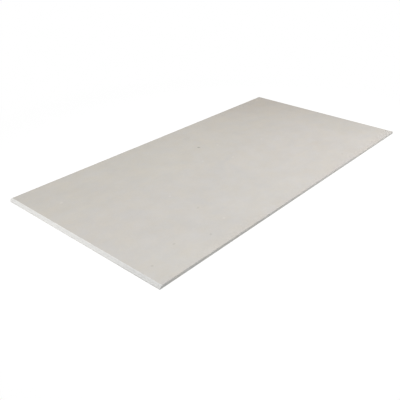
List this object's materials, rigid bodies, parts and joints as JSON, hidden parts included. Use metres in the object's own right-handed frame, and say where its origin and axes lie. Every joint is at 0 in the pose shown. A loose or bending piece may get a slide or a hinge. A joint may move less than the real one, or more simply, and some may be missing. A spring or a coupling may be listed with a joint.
{
  "type": "drywall sheet",
  "caption": "Flat gypsum board with paper faces, tapered long edges, one square end and one bevelled cut end.",
  "frame": {"origin": "centre of the back, on the surface that the sheet lies on", "axes": "+X along the length, from the bevelled cut end to the square end; +Y across the width; +Z out of the face"},
  "size_m": [2.4384, 1.2192, 0.0159],
  "materials": {
    "gypsum": "bare white plaster, chalky and matt",
    "face_paper": "light warm grey paper, matt, finely fibred",
    "back_paper": "grey-brown recycled liner paper, matt"
  },
  "bodies": {
    "root": {"gypsum_core": "gypsum", "face_paper": "face_paper", "back_paper": "back_paper"}
  },
  "joints": []
}
